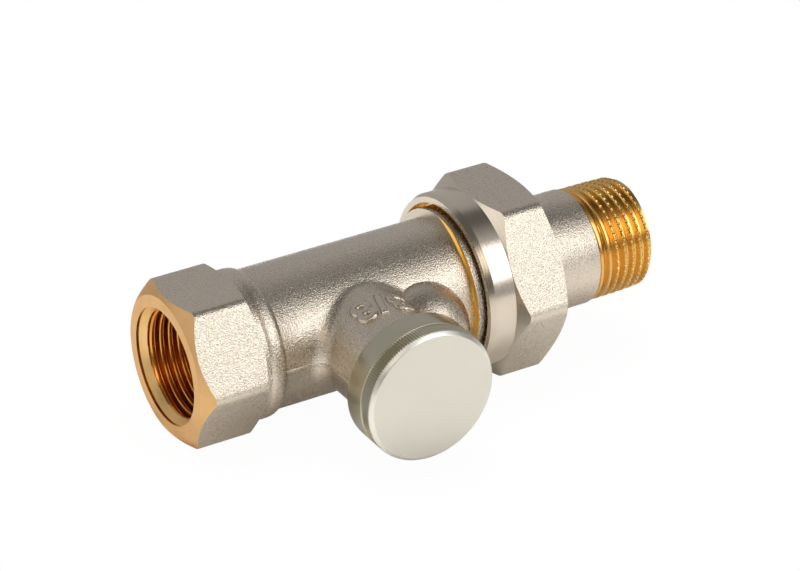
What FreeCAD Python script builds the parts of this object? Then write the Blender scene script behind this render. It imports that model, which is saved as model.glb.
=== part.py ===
import FreeCAD, Part
import os
import re
import Sketcher

# Straight lockshield radiator valve, DN 10, in millimetres.
# The pipe axis is X, from the inlet face at x = 0 to the tail thread. The branch with its cap points
# along -Y, and +Z is up. Distances along the branch are counted outwards from the pipe axis.

doc = FreeCAD.newDocument("RadiatorValve")

SIZES = [
    # Inlet end of the forged body
    ("inlet_thread_radius", 8.33, "socket wall at the root of the 3/8 pipe thread"),
    ("inlet_thread_length", 10.2, "depth of the threaded socket"),
    ("inlet_throat_radius", 6.6, "turned throat behind the thread"),
    ("inlet_throat_length", 2.4, "length of that throat"),
    ("hex_across_flats", 21.0, "spanner size of the inlet hexagon"),
    ("hex_length", 10.1, "inlet face to the rear of the flats"),
    ("hex_edge_round", 1.5, "forged rounding of the six long edges"),
    ("hex_face_radius", 10.0, "turned inlet face"),
    ("hex_front_chamfer", 1.7, "length of the turned front chamfer at a corner"),
    ("hex_rear_chamfer", 0.9, "length of the rear slope at a corner"),
    ("collar_radius", 10.35, "ring behind the hexagon"),
    ("collar_length", 1.9, "length of that ring"),
    ("collar_slope", 0.8, "run-out of the ring into the barrel"),
    # Barrel, outlet end and water ways
    ("barrel_radius", 9.9, "outside of the barrel"),
    ("ring_start", 42.7, "turned shoulder in front of the union nut"),
    ("ring_radius", 11.1, "forged ring behind that shoulder"),
    ("union_thread_start", 45.2, "start of the union thread on the body"),
    ("union_thread_radius", 11.4, "outside of the union thread"),
    ("union_thread_chamfer", 0.8, "lead-in at the end of that thread"),
    ("body_length", 51.5, "inlet face to the outlet end of the body"),
    ("passage_radius", 3.5, "drilled way from the inlet to the seat"),
    ("passage_offset", 4.6, "that way behind the pipe axis"),
    ("passage_overrun", 0.7, "that way past the seat hole"),
    ("outlet_passage_radius", 3.5, "drilled way from the chamber to the outlet"),
    ("outlet_passage_offset", 4.4, "that way in front of the pipe axis"),
    ("outlet_passage_overrun", 1.0, "that way into the outlet bore"),
    ("outlet_bore_start", 43.5, "start of the outlet bore"),
    ("outlet_bore_radius", 6.5, "outlet bore"),
    ("outlet_cone_length", 4.0, "conical seat for the tailpiece"),
    ("outlet_cone_radius", 8.5, "mouth of that seat"),
    # Branch
    ("branch_position", 26.6, "branch axis from the inlet face"),
    ("branch_radius", 7.7, "forged neck of the branch"),
    ("branch_root_fillet", 2.2, "fillet between branch and barrel"),
    ("bulge_radius", 6.5, "round bulge beside the branch, over the outlet way"),
    ("bulge_sink", 1.1, "middle of the bulge below the surface of the barrel"),
    ("bulge_clearance", 1.2, "bulge to the turned shoulder"),
    ("branch_neck_end", 18.9, "end of the forged neck"),
    ("branch_end", 23.2, "end face of the branch"),
    ("branch_end_chamfer", 0.4, "lead-in of the cap thread"),
    ("cap_thread_radius", 7.5, "outside of the cap thread"),
    ("seat_height", 0.6, "plane of the valve seat"),
    ("seat_radius", 3.3, "hole of the valve seat"),
    ("chamber_radius", 5.4, "chamber above the seat"),
    # Headwork
    ("bonnet_thread_radius", 5.5, "outside of the bonnet's thread"),
    ("flange_radius", 6.3, "bonnet flange"),
    ("flange_thickness", 1.4, "bonnet flange"),
    ("flange_recess", 0.4, "flange below the branch end"),
    ("flange_slot_width", 1.6, "spanner slots in the flange"),
    ("flange_slot_depth", 0.9, "spanner slots in the flange"),
    ("bonnet_seal_space", 1.0, "groove for the bonnet's O-ring"),
    ("bonnet_seal_land", 0.3, "metal between that groove and the flange"),
    ("bonnet_seal_section", 0.76, "thickness of the bonnet's O-ring"),
    ("lift", 2.8, "travel of the plug from shut to open"),
    ("washer_radius", 4.3, "rubber seat washer"),
    ("washer_thickness", 1.8, "rubber seat washer"),
    ("plug_radius", 4.85, "plug that carries the washer"),
    ("plug_thickness", 2.4, "plug above the washer"),
    ("plug_rim", 0.9, "rim of the plug around the washer"),
    ("hub_radius", 2.9, "hub of the plug on the spindle tip"),
    ("hub_height", 2.5, "hub above the plug"),
    ("tip_radius", 1.6, "tip of the spindle"),
    ("tip_length", 3.1, "tip of the spindle"),
    ("tip_ring_section", 0.56, "wire of the ring that holds the plug"),
    ("tip_ring_depth", 1.2, "that ring below the top of the hub"),
    ("screw_radius", 1.25, "shank of the washer screw"),
    ("screw_head_radius", 2.2, "head of the washer screw"),
    ("screw_head_height", 1.1, "head of the washer screw"),
    ("screw_grip", 1.1, "screw inside the plug"),
    ("screw_slot_width", 0.6, "driver slot of the washer screw"),
    ("screw_slot_depth", 0.5, "driver slot of the washer screw"),
    ("spindle_thread_radius", 3.45, "outside of the spindle's thread"),
    ("bonnet_nut_length", 4.4, "threaded stretch of the bonnet's bore"),
    ("stem_radius", 2.95, "smooth stem of the spindle"),
    ("stem_proud", 0.3, "stem above the branch end when open"),
    ("socket_across_flats", 4.0, "hexagon socket of the spindle"),
    ("socket_depth", 4.0, "hexagon socket of the spindle"),
    ("stem_seal_section", 1.16, "thickness of the stem's O-rings"),
    ("stem_seal_space", 1.36, "grooves for the stem's O-rings"),
    ("stem_seal_pitch", 1.75, "distance between those grooves"),
    ("stem_seal_setback", 3.28, "upper groove below the top of the bonnet"),
    ("stem_seal_land", 0.39, "metal under the lower groove"),
    # Cap
    ("cap_radius", 9.67, "outside of the cap"),
    ("cap_height", 6.1, "rim to face"),
    ("cap_face_thickness", 1.3, "face of the cap"),
    ("cap_edge", 0.35, "chamfers of the cap"),
    ("gasket_radius", 7.2, "cap gasket"),
    ("gasket_bore", 5.7, "cap gasket"),
    ("gasket_thickness", 0.7, "cap gasket"),
    # Union nut and tailpiece
    ("nut_start", 43.73, "front of the union nut"),
    ("nut_across_flats", 26.0, "spanner size of the union nut"),
    ("nut_edge_round", 1.8, "rounding of the six long edges"),
    ("nut_skirt_radius", 12.95, "turned skirt of the nut"),
    ("nut_skirt_length", 3.95, "turned skirt of the nut"),
    ("nut_skirt_edge", 0.4, "front rounding of the skirt"),
    ("nut_mouth_radius", 11.72, "smooth mouth of the nut"),
    ("nut_mouth_length", 1.6, "smooth mouth of the nut"),
    ("nut_front_chamfer", 1.35, "length of the hexagon's front chamfer at a corner"),
    ("nut_rear_chamfer", 1.35, "length of the hexagon's rear chamfer at a corner"),
    ("nut_rear_radius", 12.3, "rear face of the nut"),
    ("nut_wall", 2.4, "rear wall of the nut"),
    ("collar_gap", 0.2, "tailpiece collar clear of the body end"),
    ("tail_collar_radius", 10.6, "collar held by the nut"),
    ("tail_collar_length", 1.95, "collar held by the nut"),
    ("tail_neck_radius", 8.4, "neck of the tailpiece"),
    ("tail_bore_radius", 4.9, "bore of the tailpiece"),
    ("tail_key_across_flats", 10.0, "hexagon for the tailpiece key"),
    ("tail_key_depth", 8.0, "hexagon for the tailpiece key"),
    ("tail_nose_length", 3.3, "conical nose of the tailpiece"),
    ("tail_seal_section", 1.2, "thickness of the tailpiece's O-ring"),
    ("tail_seal_setback", 1.5, "O-ring in front of the body end"),
    ("tail_thread_start", 64.7, "start of the tail thread"),
    ("tail_thread_radius", 8.2, "outside of the 3/8 tail thread"),
    ("tail_end_radius", 7.65, "end of the tail thread"),
    ("tail_end_chamfer", 0.75, "lead-in of the tail thread"),
    ("valve_length", 73.9, "inlet face to the end of the tail"),
    # Clearances
    ("running_clearance", 0.05, "radial clearance of threads and guides"),
    ("face_gap", 0.05, "gap between faces that bear on each other"),
    ("neck_clearance", 0.25, "nut around the neck of the tailpiece"),
    ("seal_clearance", 0.02, "rubber clear of the metal around it"),
]

# Places that follow from the sizes, in the order in which the pieces stack up.
PLACES = [
    ("hex_corner", "hex_across_flats / 2 / cos(30)"),
    ("collar_end", "hex_length + collar_length"),
    ("bulge_place", "ring_start - bulge_clearance - bulge_radius"),
    ("bulge_depth", "barrel_radius - bulge_sink"),
    ("cone_start", "body_length - outlet_cone_length"),
    ("cone_slope", "(outlet_cone_radius - outlet_bore_radius) / outlet_cone_length"),
    ("washer_low", "seat_height + lift + face_gap"),
    ("washer_top", "washer_low + washer_thickness"),
    ("plug_top", "washer_top + plug_thickness"),
    ("hub_top", "plug_top + hub_height"),
    ("tip_low", "hub_top + face_gap - tip_length"),
    ("tip_ring_place", "hub_top - tip_ring_depth"),
    ("tip_ring_radius", "tip_radius + running_clearance"),
    ("tip_ring_reach", "tip_ring_section / 2 + seal_clearance * 4"),
    ("shoulder", "hub_top + face_gap"),
    ("stem_top", "branch_end + stem_proud"),
    ("bonnet_low", "hub_top + running_clearance * 6"),
    ("bonnet_nut_top", "bonnet_low + bonnet_nut_length"),
    ("bonnet_top", "branch_end - flange_recess"),
    ("upper_seal_place", "bonnet_top - stem_seal_setback"),
    ("lower_seal_place", "upper_seal_place - stem_seal_pitch"),
    ("relief_top", "lower_seal_place - stem_seal_space / 2 - stem_seal_land"),
    ("spindle_thread_top", "relief_top - running_clearance * 6"),
    ("bonnet_seat", "bonnet_top - flange_thickness"),
    ("bonnet_seal_top", "bonnet_seat - bonnet_seal_land"),
    ("bonnet_seal_low", "bonnet_seal_top - bonnet_seal_space"),
    ("bonnet_bore", "bonnet_thread_radius + running_clearance"),
    ("bonnet_seal_root", "bonnet_bore - bonnet_seal_section - seal_clearance * 2"),
    ("bonnet_seal_radius", "bonnet_bore - bonnet_seal_section / 2 - seal_clearance"),
    ("stem_seal_radius", "stem_radius + stem_seal_section / 2 + seal_clearance"),
    ("stem_seal_root", "stem_seal_radius + stem_seal_section / 2 + seal_clearance"),
    ("gasket_low", "branch_end + face_gap"),
    ("cap_inside", "gasket_low + gasket_thickness + face_gap"),
    ("cap_face", "cap_inside + cap_face_thickness"),
    ("cap_rim", "cap_face - cap_height"),
    ("nut_corner", "nut_across_flats / 2 / cos(30)"),
    ("nut_hex_start", "nut_start + nut_skirt_length"),
    ("tail_collar_start", "body_length + collar_gap"),
    ("tail_collar_end", "tail_collar_start + tail_collar_length"),
    ("nut_shoulder", "tail_collar_end + face_gap"),
    ("nut_end", "nut_shoulder + nut_wall"),
    ("tail_tip", "body_length - tail_nose_length"),
    ("nose_gap", "face_gap * 2"),
    ("nose_radius", "outlet_cone_radius - nose_gap"),
    ("tip_cone_radius", "nose_radius - cone_slope * tail_nose_length"),
    ("tail_seal_place", "body_length - tail_seal_setback"),
    ("tail_seal_radius", "nose_radius - cone_slope * tail_seal_setback - tail_seal_section / 2"),
    ("tail_seal_root", "tail_seal_radius - tail_seal_section / 2 - seal_clearance"),
    ("tail_seal_half", "tail_seal_section / 2 + seal_clearance * 3"),
]


def make_sheet(name, rows):
    sheet = doc.addObject("Spreadsheet::Sheet", name)
    for number, row in enumerate(rows, start=1):
        for column, text in zip("ABC", row):
            sheet.set(f"{column}{number}", text)
        sheet.setAlias(f"B{number}", row[0])
    doc.recompute()
    return sheet


def bound(text):
    """Point every name in a formula at the sheet that holds it."""
    return re.sub(r"[a-z_]{3,}\b(?!\()", lambda word: OWNER[word.group()] + "." + word.group(), text)


OWNER = {name: "Sizes" for name, _, _ in SIZES}
OWNER.update({name: "Places" for name, _ in PLACES})
sizes = make_sheet("Sizes", [(name, str(size), note) for name, size, note in SIZES])
places = make_sheet("Places", [(name, "=" + re.sub(r"Places\.", "", bound(rule))) for name, rule in PLACES])


def bind(item, **rules):
    """Tie properties of an object to the sheets; a double underscore stands for a dot."""
    for name, rule in rules.items():
        item.setExpression(name.replace("__", "."), bound(rule))


ALONG_PIPE = FreeCAD.Rotation(FreeCAD.Vector(1, 1, 1), 120)  # Z to X, X to Y
ALONG_BRANCH = FreeCAD.Rotation(FreeCAD.Vector(0, 0, 1), -90)  # X to -Y
OUT_OF_BRANCH = FreeCAD.Rotation(FreeCAD.Vector(1, 0, 0), 90)  # Z to -Y


def put_on_branch(item):
    item.Placement = FreeCAD.Placement(FreeCAD.Vector(0, 0, 0), ALONG_BRANCH)
    bind(item, Placement__Base__x="branch_position")
    return item


def origin_plane(body, role):
    return next(plane for plane in body.Origin.OriginFeatures if plane.Role == role)


def draw_outline(sketch, corners):
    """Closed outline whose corners are (along, radius) formulas."""
    count = len(corners)
    start = [FreeCAD.Vector(10 + number, 10 + (number * number) % 7, 0) for number in range(count)]
    for number in range(count):
        sketch.addGeometry(Part.LineSegment(start[number], start[(number + 1) % count]))
    for number in range(count):
        following = (number + 1) % count
        sketch.addConstraint(Sketcher.Constraint("Coincident", number, 2, following, 1))
    for number, (along, radius) in enumerate(corners):
        for kind, axis, rule in (("DistanceX", -2, along), ("DistanceY", -1, radius)):
            if rule == "0":
                sketch.addConstraint(Sketcher.Constraint("PointOnObject", number, 1, axis))
                continue
            first = start[number].x if kind == "DistanceX" else start[number].y
            place = sketch.addConstraint(Sketcher.Constraint(kind, -1, 1, number, 1, first))
            sketch.setExpression(f"Constraints[{place}]", bound(rule))


def turned(label, corners):
    """Body revolved about X from the corners of half its section."""
    body = doc.addObject("PartDesign::Body", label)
    sketch = body.newObject("Sketcher::SketchObject", label + "_section")
    sketch.AttachmentSupport = (origin_plane(body, "XY_Plane"), [""])
    sketch.MapMode = "FlatFace"
    draw_outline(sketch, corners)
    doc.recompute()
    turn = body.newObject("PartDesign::Revolution", label + "_turn")
    turn.Profile = sketch
    turn.ReferenceAxis = (sketch, ["H_Axis"])
    turn.Angle = 360
    doc.recompute()
    return body


def ring(label, radius, section, place, on_branch):
    """Round-section ring about the pipe axis or the branch axis."""
    torus = doc.addObject("Part::Torus", label)
    bind(torus, Radius1=radius, Radius2=section + " / 2")
    if on_branch:
        torus.Placement.Rotation = OUT_OF_BRANCH
        bind(torus, Placement__Base__x="branch_position", Placement__Base__y=f"-({place})")
    else:
        torus.Placement.Rotation = ALONG_PIPE
        bind(torus, Placement__Base__x=place)
    return torus


def drill(label, radius, length, rotation, **base):
    cylinder = doc.addObject("Part::Cylinder", label)
    cylinder.Placement.Rotation = rotation
    bind(cylinder, Radius=radius, Height=length)
    bind(cylinder, **{"Placement__Base__" + axis: rule for axis, rule in base.items()})
    return cylinder


def ball(label, radius, **base):
    sphere = doc.addObject("Part::Sphere", label)
    sphere.Placement.Rotation = ALONG_PIPE
    bind(sphere, Radius=radius)
    bind(sphere, **{"Placement__Base__" + axis: rule for axis, rule in base.items()})
    return sphere


def join(label, kind, *pieces):
    """Boolean of several objects: Part::MultiFuse, Part::MultiCommon or Part::Cut."""
    result = doc.addObject(kind, label)
    if kind == "Part::Cut":
        result.Base, result.Tool = pieces
    else:
        result.Shapes = list(pieces)
    doc.recompute()
    return result


def hexagon(label, corner, length, rotation, **base):
    prism = doc.addObject("Part::Prism", label)
    prism.Polygon = 6
    prism.Placement.Rotation = rotation
    bind(prism, Circumradius=corner, Height=length)
    bind(prism, **{"Placement__Base__" + axis: rule for axis, rule in base.items()})
    doc.recompute()
    return prism


def rounded(label, base, chosen, radius):
    """Fillet of the edges that a test picks out."""
    fillet = doc.addObject("Part::Fillet", label)
    fillet.Base = base
    edges = enumerate(base.Shape.Edges, start=1)
    fillet.Edges = [(number, radius, radius) for number, edge in edges if chosen(edge)]
    doc.recompute()
    return fillet


def along_x(edge):
    """A straight edge parallel to the pipe."""
    first, last = edge.Vertexes[0].Point, edge.Vertexes[-1].Point
    return abs(first.x - last.x) > 0.99 * edge.Length


def hex_bar(label, corner, start, length, edge_round, envelope):
    """Hexagon bar with rounded edges, turned down to an envelope."""
    bar = hexagon(label + "_bar", corner, length, ALONG_PIPE, x=start)
    soft = rounded(label + "_edges", bar, along_x, sizes.get(edge_round))
    return join(label, "Part::MultiCommon", soft, envelope)


def make_valve_body():
    barrel = turned("barrel", [
        ("hex_length / 2", "0"),
        ("hex_length / 2", "collar_radius"),
        ("collar_end", "collar_radius"),
        ("collar_end + collar_slope", "barrel_radius"),
        ("ring_start", "barrel_radius"),
        ("ring_start", "ring_radius"),
        ("union_thread_start", "ring_radius"),
        ("union_thread_start", "union_thread_radius"),
        ("body_length - union_thread_chamfer", "union_thread_radius"),
        ("body_length", "union_thread_radius - union_thread_chamfer"),
        ("body_length", "0"),
    ])
    envelope = turned("inlet_hex_envelope", [
        ("0", "0"),
        ("0", "hex_face_radius"),
        ("hex_front_chamfer", "hex_corner"),
        ("hex_length - hex_rear_chamfer", "hex_corner"),
        ("hex_length + hex_rear_chamfer", "collar_radius * 2 - hex_corner"),
        ("hex_length + hex_rear_chamfer", "0"),
    ])
    hex_end = hex_bar("inlet_hex", "hex_corner", "0", "hex_length + hex_rear_chamfer",
                      "hex_edge_round", envelope)
    branch = put_on_branch(turned("branch", [
        ("0", "0"),
        ("0", "branch_radius"),
        ("branch_neck_end", "branch_radius"),
        ("branch_neck_end", "cap_thread_radius"),
        ("branch_end - branch_end_chamfer", "cap_thread_radius"),
        ("branch_end", "cap_thread_radius - branch_end_chamfer"),
        ("branch_end", "0"),
    ]))
    forging = join("forging", "Part::MultiFuse", barrel, hex_end, branch)

    def branch_root(edge):
        """The saddle where the branch meets the barrel: on both cylinders."""
        on_both = True
        for share in (0.13, 0.41, 0.77):
            low, high = edge.ParameterRange
            point = edge.valueAt(low + share * (high - low))
            from_pipe = (point.y ** 2 + point.z ** 2) ** 0.5
            from_branch = ((point.x - sizes.get("branch_position")) ** 2 + point.z ** 2) ** 0.5
            on_both = on_both and abs(from_pipe - sizes.get("barrel_radius")) < 0.02
            on_both = on_both and abs(from_branch - sizes.get("branch_radius")) < 0.02
        return on_both

    soft = rounded("branch_root", forging, branch_root, sizes.get("branch_root_fillet"))
    bulge = ball("outlet_bulge", "bulge_radius", x="bulge_place", y="-bulge_depth")
    outside = join("forged_outside", "Part::MultiFuse", soft, bulge)
    inlet = turned("inlet_bore", [
        ("0", "0"),
        ("0", "inlet_thread_radius"),
        ("inlet_thread_length", "inlet_thread_radius"),
        ("inlet_thread_length", "inlet_throat_radius"),
        ("inlet_thread_length + inlet_throat_length", "inlet_throat_radius"),
        ("inlet_thread_length + inlet_throat_length * 2", "0"),
    ])
    way_in = drill("inlet_passage", "passage_radius",
                   "branch_position + seat_radius + passage_overrun - inlet_thread_length", ALONG_PIPE,
                   x="inlet_thread_length", y="passage_offset")
    seat = drill("seat_hole", "seat_radius", "seat_height + passage_offset", OUT_OF_BRANCH,
                 x="branch_position", y="passage_offset")
    chamber = put_on_branch(turned("chamber", [
        ("seat_height", "0"),
        ("seat_height", "chamber_radius"),
        ("bonnet_low - running_clearance * 6", "chamber_radius"),
        ("bonnet_low", "bonnet_bore"),
        ("bonnet_seat", "bonnet_bore"),
        ("bonnet_seat", "flange_radius + running_clearance"),
        ("branch_end", "flange_radius + running_clearance"),
        ("branch_end", "0"),
    ]))
    way_out = drill("outlet_passage", "outlet_passage_radius",
                    "outlet_bore_start + outlet_passage_overrun - branch_position", ALONG_PIPE,
                    x="branch_position", y="-outlet_passage_offset")
    outlet = turned("outlet_bore", [
        ("outlet_bore_start", "0"),
        ("outlet_bore_start", "outlet_bore_radius"),
        ("cone_start", "outlet_bore_radius"),
        ("body_length", "outlet_cone_radius"),
        ("body_length", "0"),
    ])
    water_ways = join("water_ways", "Part::MultiFuse", inlet, way_in, seat, chamber, way_out, outlet)
    return join("valve_body", "Part::Cut", outside, water_ways)


def make_bonnet():
    section = put_on_branch(turned("bonnet_section", [
        ("bonnet_low", "spindle_thread_radius + running_clearance"),
        ("bonnet_low", "bonnet_thread_radius"),
        ("bonnet_seal_low", "bonnet_thread_radius"),
        ("bonnet_seal_low", "bonnet_seal_root"),
        ("bonnet_seal_top", "bonnet_seal_root"),
        ("bonnet_seal_top", "bonnet_thread_radius"),
        ("bonnet_seat", "bonnet_thread_radius"),
        ("bonnet_seat", "flange_radius"),
        ("bonnet_top", "flange_radius"),
        ("bonnet_top", "stem_radius + running_clearance"),
        ("upper_seal_place + stem_seal_space / 2", "stem_radius + running_clearance"),
        ("upper_seal_place + stem_seal_space / 2", "stem_seal_root"),
        ("upper_seal_place - stem_seal_space / 2", "stem_seal_root"),
        ("upper_seal_place - stem_seal_space / 2", "stem_radius + running_clearance"),
        ("lower_seal_place + stem_seal_space / 2", "stem_radius + running_clearance"),
        ("lower_seal_place + stem_seal_space / 2", "stem_seal_root"),
        ("lower_seal_place - stem_seal_space / 2", "stem_seal_root"),
        ("lower_seal_place - stem_seal_space / 2", "stem_radius + running_clearance"),
        ("relief_top", "stem_radius + running_clearance"),
        ("relief_top", "spindle_thread_radius + running_clearance * 4"),
        ("bonnet_nut_top", "spindle_thread_radius + running_clearance * 4"),
        ("bonnet_nut_top", "spindle_thread_radius + running_clearance"),
    ]))
    slot = doc.addObject("Part::Box", "flange_slot")
    bind(slot, Length="flange_radius * 3", Width="flange_slot_depth * 2", Height="flange_slot_width",
         Placement__Base__x="branch_position - flange_radius * 1.5",
         Placement__Base__y="-bonnet_top - flange_slot_depth", Placement__Base__z="-flange_slot_width / 2")
    return join("bonnet", "Part::Cut", section, slot)


def make_spindle():
    section = put_on_branch(turned("spindle_section", [
        ("tip_low", "0"),
        ("tip_low", "tip_radius"),
        ("tip_ring_place - tip_ring_reach", "tip_radius"),
        ("tip_ring_place - tip_ring_reach", "tip_ring_radius - tip_ring_reach"),
        ("tip_ring_place + tip_ring_reach", "tip_ring_radius - tip_ring_reach"),
        ("tip_ring_place + tip_ring_reach", "tip_radius"),
        ("shoulder", "tip_radius"),
        ("shoulder", "spindle_thread_radius"),
        ("spindle_thread_top", "spindle_thread_radius"),
        ("spindle_thread_top", "stem_radius"),
        ("stem_top", "stem_radius"),
        ("stem_top", "0"),
    ]))
    socket = hexagon("spindle_socket", "socket_across_flats / 2 / cos(30)", "socket_depth * 2",
                     OUT_OF_BRANCH, x="branch_position", y="socket_depth - stem_top")
    return join("spindle", "Part::Cut", section, socket)


def make_plug():
    return put_on_branch(turned("plug", [
        ("washer_top - plug_rim", "washer_radius + seal_clearance"),
        ("washer_top - plug_rim", "plug_radius"),
        ("plug_top", "plug_radius"),
        ("plug_top", "hub_radius"),
        ("hub_top", "hub_radius"),
        ("hub_top", "tip_radius + running_clearance"),
        ("tip_ring_place + tip_ring_reach", "tip_radius + running_clearance"),
        ("tip_ring_place + tip_ring_reach", "tip_ring_radius + tip_ring_reach"),
        ("tip_ring_place - tip_ring_reach", "tip_ring_radius + tip_ring_reach"),
        ("tip_ring_place - tip_ring_reach", "tip_radius + running_clearance"),
        ("tip_low - face_gap", "tip_radius + running_clearance"),
        ("tip_low - face_gap", "0"),
        ("washer_top + screw_grip + face_gap", "0"),
        ("washer_top + screw_grip + face_gap", "screw_radius + seal_clearance"),
        ("washer_top", "screw_radius + seal_clearance"),
        ("washer_top", "washer_radius + seal_clearance"),
    ]))


def make_seat_washer():
    return put_on_branch(turned("seat_washer", [
        ("washer_low", "screw_radius + seal_clearance"),
        ("washer_low", "washer_radius"),
        ("washer_top", "washer_radius"),
        ("washer_top", "screw_radius + seal_clearance"),
    ]))


def make_washer_screw():
    section = put_on_branch(turned("washer_screw_section", [
        ("washer_low - screw_head_height", "0"),
        ("washer_low - screw_head_height", "screw_head_radius"),
        ("washer_low", "screw_head_radius"),
        ("washer_low", "screw_radius"),
        ("washer_top + screw_grip", "screw_radius"),
        ("washer_top + screw_grip", "0"),
    ]))
    slot = doc.addObject("Part::Box", "washer_screw_slot")
    bind(slot, Length="screw_head_radius * 3", Width="screw_slot_depth * 2", Height="screw_slot_width",
         Placement__Base__x="branch_position - screw_head_radius * 1.5",
         Placement__Base__y="screw_head_height - washer_low - screw_slot_depth",
         Placement__Base__z="-screw_slot_width / 2")
    return join("washer_screw", "Part::Cut", section, slot)


def make_cap():
    return put_on_branch(turned("cap", [
        ("cap_rim", "cap_thread_radius + running_clearance + cap_edge"),
        ("cap_rim", "cap_radius - cap_edge"),
        ("cap_rim + cap_edge", "cap_radius"),
        ("cap_face - cap_edge", "cap_radius"),
        ("cap_face", "cap_radius - cap_edge"),
        ("cap_face", "0"),
        ("cap_inside", "0"),
        ("cap_inside", "cap_thread_radius + running_clearance"),
        ("cap_rim + cap_edge", "cap_thread_radius + running_clearance"),
    ]))


def make_cap_gasket():
    return put_on_branch(turned("cap_gasket", [
        ("gasket_low", "gasket_bore"),
        ("gasket_low", "gasket_radius"),
        ("gasket_low + gasket_thickness", "gasket_radius"),
        ("gasket_low + gasket_thickness", "gasket_bore"),
    ]))


def make_union_nut():
    skirt = turned("nut_skirt", [
        ("nut_start", "0"),
        ("nut_start", "nut_skirt_radius - nut_skirt_edge"),
        ("nut_start + nut_skirt_edge * 2", "nut_skirt_radius"),
        ("nut_hex_start + nut_front_chamfer", "nut_skirt_radius"),
        ("nut_hex_start + nut_front_chamfer", "0"),
    ])
    envelope = turned("nut_hex_envelope", [
        ("nut_hex_start", "0"),
        ("nut_hex_start", "nut_skirt_radius"),
        ("nut_hex_start + nut_front_chamfer", "nut_corner"),
        ("nut_end - nut_rear_chamfer", "nut_corner"),
        ("nut_end", "nut_rear_radius"),
        ("nut_end", "0"),
    ])
    hex_end = hex_bar("nut_hex", "nut_corner", "nut_hex_start", "nut_end - nut_hex_start",
                      "nut_edge_round", envelope)
    outside = join("nut_outside", "Part::MultiFuse", skirt, hex_end)
    inside = turned("nut_inside", [
        ("nut_start", "0"),
        ("nut_start", "nut_mouth_radius"),
        ("nut_start + nut_mouth_length", "nut_mouth_radius"),
        ("nut_start + nut_mouth_length", "union_thread_radius + running_clearance"),
        ("nut_shoulder", "union_thread_radius + running_clearance"),
        ("nut_shoulder", "tail_neck_radius + neck_clearance"),
        ("nut_end", "tail_neck_radius + neck_clearance"),
        ("nut_end", "0"),
    ])
    return join("union_nut", "Part::Cut", outside, inside)


def make_tailpiece():
    section = turned("tailpiece_section", [
        ("tail_tip", "tail_bore_radius"),
        ("tail_tip", "tip_cone_radius"),
        ("tail_seal_place - tail_seal_half", "nose_radius - cone_slope * (tail_seal_setback + tail_seal_half)"),
        ("tail_seal_place - tail_seal_half", "tail_seal_root"),
        ("tail_seal_place + tail_seal_half", "tail_seal_root"),
        ("tail_seal_place + tail_seal_half", "nose_radius - cone_slope * (tail_seal_setback - tail_seal_half)"),
        ("body_length", "nose_radius"),
        ("tail_collar_start", "nose_radius"),
        ("tail_collar_start", "tail_collar_radius"),
        ("tail_collar_end", "tail_collar_radius"),
        ("tail_collar_end", "tail_neck_radius"),
        ("tail_thread_start", "tail_neck_radius"),
        ("tail_thread_start", "tail_thread_radius"),
        ("valve_length - tail_end_chamfer", "tail_thread_radius"),
        ("valve_length", "tail_end_radius"),
        ("valve_length", "tail_bore_radius"),
    ])
    key = hexagon("tail_key", "tail_key_across_flats / 2 / cos(30)", "tail_key_depth", ALONG_PIPE, x="tail_tip")
    return join("tailpiece", "Part::Cut", section, key)


NODES = [
    make_valve_body(),
    make_bonnet(),
    ring("bonnet_o_ring", "bonnet_seal_radius", "bonnet_seal_section",
         "(bonnet_seal_low + bonnet_seal_top) / 2", True),
    ring("spindle_o_ring_lower", "stem_seal_radius", "stem_seal_section", "lower_seal_place", True),
    ring("spindle_o_ring_upper", "stem_seal_radius", "stem_seal_section", "upper_seal_place", True),
    make_spindle(),
    make_plug(),
    ring("plug_retaining_ring", "tip_ring_radius", "tip_ring_section", "tip_ring_place", True),
    make_seat_washer(),
    make_washer_screw(),
    make_cap(),
    make_cap_gasket(),
    make_union_nut(),
    make_tailpiece(),
    ring("tailpiece_o_ring", "tail_seal_radius", "tail_seal_section", "tail_seal_place", False),
]

doc.recompute()
for item in doc.Objects:
    if "Invalid" in item.State or "Error" in item.State:
        raise RuntimeError(f"{item.Name} did not build: {item.State}")
for node in NODES:
    if node.Shape.isNull() or not node.Shape.isValid() or len(node.Shape.Solids) != 1:
        raise RuntimeError(f"{node.Label} is not one valid solid")

os.makedirs("parts", exist_ok=True)
for node in NODES:
    node.Shape.exportStep(f"parts/{node.Label}.step")
    print(node.Label, round(node.Shape.Volume, 1))
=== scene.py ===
import math

import bmesh
import bpy
import numpy as np
from mathutils import Matrix, noise


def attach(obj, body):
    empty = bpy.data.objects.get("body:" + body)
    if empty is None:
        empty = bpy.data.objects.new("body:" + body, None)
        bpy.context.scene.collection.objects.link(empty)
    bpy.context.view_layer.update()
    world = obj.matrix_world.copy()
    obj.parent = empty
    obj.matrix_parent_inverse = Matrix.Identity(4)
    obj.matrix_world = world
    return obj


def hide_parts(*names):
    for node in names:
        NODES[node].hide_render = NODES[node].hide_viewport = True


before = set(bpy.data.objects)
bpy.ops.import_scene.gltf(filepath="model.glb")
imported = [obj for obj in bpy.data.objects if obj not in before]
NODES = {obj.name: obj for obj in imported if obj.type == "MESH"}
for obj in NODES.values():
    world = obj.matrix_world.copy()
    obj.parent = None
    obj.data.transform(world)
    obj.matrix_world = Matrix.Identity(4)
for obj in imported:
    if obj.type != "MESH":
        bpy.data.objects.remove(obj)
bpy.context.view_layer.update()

# Straight lockshield radiator valve in nickel-plated brass. Lengths are in millimetres and become
# metres where a mesh is made. The pipe axis is X, the branch with its cap points along -Y, +Z is up.
MM = 0.001

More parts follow.
